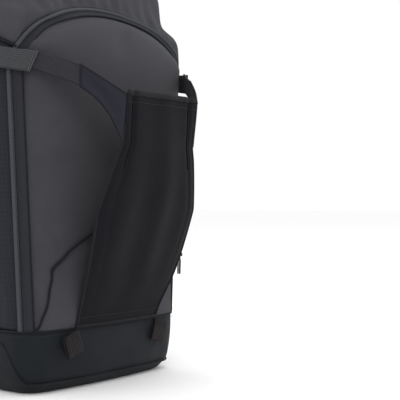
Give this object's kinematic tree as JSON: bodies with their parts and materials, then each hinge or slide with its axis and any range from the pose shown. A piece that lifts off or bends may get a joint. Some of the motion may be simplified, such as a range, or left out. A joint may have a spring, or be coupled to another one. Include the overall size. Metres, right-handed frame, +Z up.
{
  "type": "ski backpack",
  "caption": "Panel-loading ski backpack with arched zip door, stretch helmet carrier flap on side straps, padded harness, hip belt, frame sheet and coated base.",
  "frame": {"origin": "middle of the flat underside of the base panel, midway between the side panels", "axes": "+Z up the height of the standing pack, -Y out of the front panel, +Y towards the wearer's back, -X to the wearer's left"},
  "size_m": [0.3427, 0.4815, 0.5323],
  "materials": {
    "pack_cloth": "matte woven",
    "side_cloth": "matte ripstop",
    "base_cloth": "coated weave, satin",
    "back_mesh": "padded spacer mesh",
    "stretch_cloth": "stretch knit, matte",
    "binding": "bound edge",
    "elastic": "ribbed elastic",
    "webbing": "ribbed webbing",
    "loop_webbing": "ribbed webbing",
    "zip_tape": "twill tape with coil",
    "zip_metal": "dark lacquer",
    "buckle_plastic": "fine spark grain",
    "frame_plastic": "smooth sheet",
    "stay_metal": "mill finish",
    "lining_cloth": "light lining"
  },
  "bodies": {
    "pack_shell": {"back_pad_left": "back_mesh", "back_pad_right": "back_mesh", "back_panel": "back_mesh", "base_panel": "base_cloth", "frame_sheet": "frame_plastic", "frame_stays": "stay_metal", "handle_tabs": "webbing", "ladder_lock_left": "buckle_plastic", "ladder_lock_right": "buckle_plastic", "load_lifter_left": "webbing", "load_lifter_lock_left": "buckle_plastic", "load_lifter_lock_right": "buckle_plastic", "load_lifter_right": "webbing", "lower_webbing_left": "webbing", "lower_webbing_right": "webbing", "lumbar_pad": "back_mesh", "shoulder_strap_left": "back_mesh", "shoulder_strap_right": "back_mesh", "side_panel_left": "side_cloth", "side_panel_right": "side_cloth", "sternum_rails": "webbing", "strap_anchors": "webbing", "strap_buckle_female_left": "buckle_plastic", "strap_buckle_female_right": "buckle_plastic", "tool_loop_left": "loop_webbing", "tool_loop_right": "loop_webbing", "tool_sleeve": "lining_cloth", "top_panel": "pack_cloth", "top_zip_tape": "zip_tape", "zip_tape_shell": "zip_tape"},
    "door": {"front_panel": "pack_cloth", "zip_tape_door": "zip_tape", "stow_pocket": "pack_cloth"},
    "helmet_carrier": {"helmet_flap": "stretch_cloth", "flap_hem": "binding", "flap_wing_left": "stretch_cloth", "flap_wing_right": "stretch_cloth", "elastic_strap_left": "elastic", "elastic_strap_right": "elastic", "side_strap_left": "webbing", "side_strap_right": "webbing", "strap_buckle_male_left": "buckle_plastic", "strap_buckle_male_right": "buckle_plastic"},
    "slider_upper": {"zip_slider_upper": "zip_metal"},
    "puller_upper": {"zip_puller_upper": "zip_metal"},
    "slider_lower": {"zip_slider_lower": "zip_metal"},
    "puller_lower": {"zip_puller_lower": "zip_metal"},
    "top_slider": {"top_zip_slider": "zip_metal"},
    "top_puller": {"top_zip_puller": "zip_metal"},
    "haul_loop": {"grab_handle": "webbing"},
    "belt_wing_left": {"hip_wing_left": "back_mesh", "hip_webbing_left": "webbing", "hip_buckle_female_left": "buckle_plastic"},
    "belt_wing_right": {"hip_wing_right": "back_mesh", "hip_webbing_right": "webbing"},
    "belt_tongue": {"hip_buckle_male_right": "buckle_plastic"},
    "sternum_strap": {"sternum_webbing": "webbing", "sternum_buckle": "buckle_plastic", "sternum_glides": "buckle_plastic"}
  },
  "joints": [
    {"name": "door_open", "type": "hinge", "parent": "pack_shell", "child": "door", "pos_m": [0, -0.1025, 0.066], "axis": [1, 0, 0], "range_deg": [0, 60]},
    {"name": "flap_open", "type": "hinge", "parent": "door", "child": "helmet_carrier", "pos_m": [0, -0.104, 0.073], "axis": [1, 0, 0], "range_deg": [0, 25]},
    {"name": "upper_slider_run", "type": "slide", "parent": "door", "child": "slider_upper", "axis": [0.0526, 0.0078, 0.9986], "range_m": [0, 0.15]},
    {"name": "upper_puller_swing", "type": "hinge", "parent": "slider_upper", "child": "puller_upper", "pos_m": [0.12835, -0.08328, 0.16509], "axis": [-0.5575, -0.8294, 0.0358], "range_deg": [0, 150]},
    {"name": "lower_slider_run", "type": "slide", "parent": "door", "child": "slider_lower", "axis": [0.0526, 0.0078, 0.9986], "range_m": [-0.055, 0]},
    {"name": "lower_puller_swing", "type": "hinge", "parent": "slider_lower", "child": "puller_lower", "pos_m": [0.12673, -0.08352, 0.13414], "axis": [-0.5575, -0.8294, 0.0358], "range_deg": [0, 150]},
    {"name": "top_slider_run", "type": "slide", "parent": "pack_shell", "child": "top_slider", "axis": [1, 0, 0], "range_m": [0, 0.108]},
    {"name": "top_puller_swing", "type": "hinge", "parent": "top_slider", "child": "top_puller", "pos_m": [-0.06, 0.029, 0.5298], "axis": [0, -1, 0], "range_deg": [0, 170]},
    {"name": "haul_loop_swing", "type": "hinge", "parent": "pack_shell", "child": "haul_loop", "pos_m": [0, 0.084, 0.5005], "axis": [1, 0, 0], "range_deg": [-80, 15]},
    {"name": "left_wing_swing", "type": "hinge", "parent": "pack_shell", "child": "belt_wing_left", "pos_m": [-0.106, 0.097, 0.1], "axis": [0, 0, -1], "range_deg": [-15, 35]},
    {"name": "right_wing_swing", "type": "hinge", "parent": "pack_shell", "child": "belt_wing_right", "pos_m": [0.106, 0.097, 0.1], "axis": [0, 0, 1], "range_deg": [-15, 35]},
    {"name": "belt_tongue_adjust", "type": "slide", "parent": "belt_wing_right", "child": "belt_tongue", "axis": [0.0797, 0.9968, 0], "range_m": [-0.035, 0]},
    {"name": "sternum_height", "type": "slide", "parent": "pack_shell", "child": "sternum_strap", "axis": [0, 0, 1], "range_m": [-0.03, 0.03]}
  ]
}
